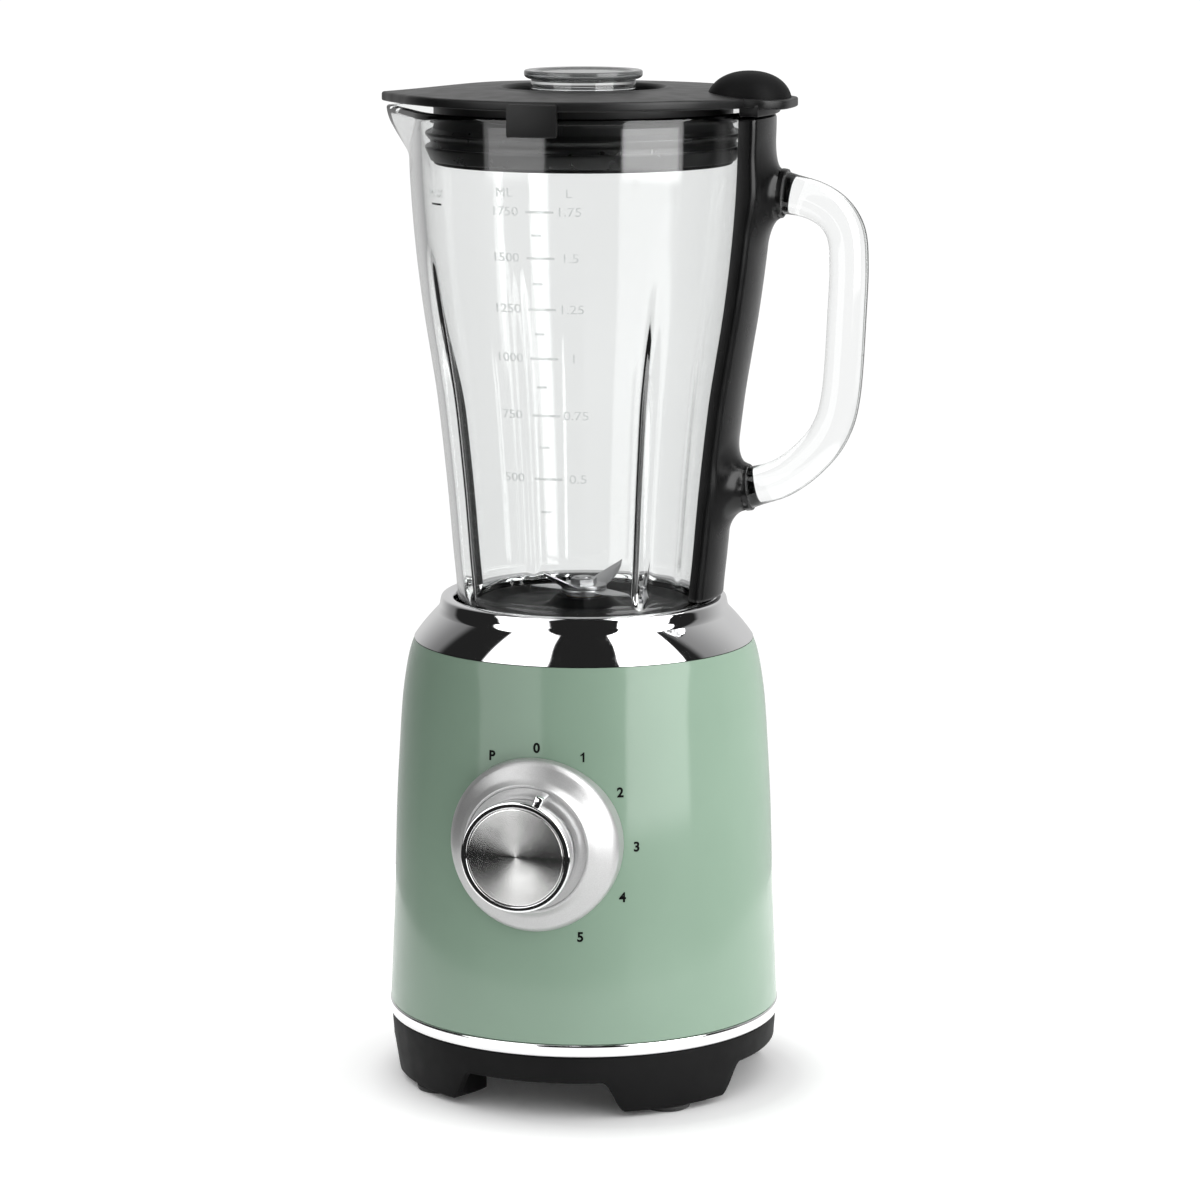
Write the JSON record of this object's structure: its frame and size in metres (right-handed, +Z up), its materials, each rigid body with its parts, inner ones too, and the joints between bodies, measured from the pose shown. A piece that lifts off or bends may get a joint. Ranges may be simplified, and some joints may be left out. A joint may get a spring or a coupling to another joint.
{
  "type": "countertop blender",
  "caption": "Countertop blender with a motor base and speed dial, and a lift-off glass jar with handle, pouring spout, blades, lid and measuring cap.",
  "frame": {"origin": "on the surface that the blender stands on, under the middle of its outline seen from above", "axes": "+Z up, the speed dial faces -Y, the handle is at +X and the spout at -X; the drive axis is vertical at X = -16.5 mm, Y = 9.25 mm"},
  "size_m": [0.2036, 0.1844, 0.416],
  "materials": {
    "enamel": "glossy sage green enamel",
    "chrome": "polished",
    "satin_silver": "satin, the dial's face finely spun",
    "black_plastic": "satin moulded",
    "rubber": "matt",
    "silicone": "smooth",
    "glass": "clear, fire polished",
    "clear_plastic": "clear",
    "steel": "ground",
    "aluminium": "die cast",
    "laminations": "stacked sheet",
    "copper": "varnished copper",
    "bronze": "sintered",
    "carbon": "matt",
    "circuit_board": "green lacquer"
  },
  "bodies": {
    "base": {"base_skirt": "black_plastic", "bottom_plate": "black_plastic", "foot_pad_front_right": "rubber", "foot_pad_rear_right": "rubber", "foot_pad_rear_left": "rubber", "foot_pad_front_left": "rubber", "base_screw_right": "steel", "base_screw_rear": "steel", "base_screw_left": "steel", "base_screw_front": "steel", "trim_ring": "chrome", "body_shell": "enamel", "chrome_shoulder": "chrome", "jar_seat": "black_plastic", "cord_gland": "rubber", "speed_board": "circuit_board", "dial_bezel": "satin_silver", "rotary_switch": "black_plastic", "stator_core": "laminations", "field_coil_rear": "copper", "field_coil_front": "copper", "upper_motor_bracket": "aluminium", "lower_motor_bracket": "aluminium", "upper_bearing": "steel", "lower_bearing": "steel", "brush_holder_right": "bronze", "brush_holder_left": "bronze", "carbon_brush_right": "carbon", "carbon_brush_left": "carbon", "motor_damper": "rubber", "interlock_switch": "black_plastic"},
    "jar": {"glass_jar": "glass", "handle_spine": "black_plastic", "blade_carrier": "black_plastic", "carrier_seal": "silicone", "locking_nut": "black_plastic", "upper_blade_bush": "bronze", "lower_blade_bush": "bronze"},
    "blades": {"blade_shaft": "steel", "blade_washer": "steel", "lower_blade": "steel", "upper_blade": "steel", "blade_nut": "steel", "driven_coupling": "black_plastic"},
    "lid": {"lid": "black_plastic", "lid_seal": "silicone"},
    "cap": {"measuring_cap": "clear_plastic", "cap_disc": "clear_plastic"},
    "dial": {"dial_knob": "chrome", "dial_face": "satin_silver", "dial_spindle": "steel"},
    "rotor": {"motor_shaft": "steel", "armature_core": "laminations", "armature_winding_upper": "copper", "armature_winding_lower": "copper", "commutator": "copper", "cooling_fan": "black_plastic", "drive_coupling": "black_plastic"},
    "interlock": {"interlock_plunger": "black_plastic", "interlock_spring": "steel"}
  },
  "joints": [
    {"name": "jar_lift", "type": "slide", "parent": "base", "child": "jar", "axis": [0, 0, 1], "range_m": [0, 0.045]},
    {"name": "lid_lift", "type": "slide", "parent": "jar", "child": "lid", "axis": [0, 0, 1], "range_m": [0, 0.04]},
    {"name": "cap_lift", "type": "slide", "parent": "lid", "child": "cap", "axis": [0, 0, 1], "range_m": [0, 0.035]},
    {"name": "dial_turn", "type": "hinge", "parent": "base", "child": "dial", "pos_m": [-0.0165, -0.06825, 0.113], "axis": [0, 1, 0], "range_deg": [-51, 129]},
    {"name": "motor_spin", "type": "hinge", "parent": "base", "child": "rotor", "pos_m": [-0.0165, 0.00925, 0.1], "axis": [0, 0, 1], "continuous": true},
    {"name": "blade_spin", "type": "hinge", "parent": "jar", "child": "blades", "pos_m": [-0.0165, 0.00925, 0.194], "axis": [0, 0, 1], "continuous": true},
    {"name": "interlock_slide", "type": "slide", "parent": "base", "child": "interlock", "axis": [0, 0, 1], "range_m": [0, 0.0045], "deforming": ["interlock_spring"]}
  ],
  "couplings": [
    {"joint": "blade_spin", "follows": "motor_spin", "ratio": 1},
    {"joint": "interlock_slide", "follows": "jar_lift", "ratio": 0.1}
  ]
}
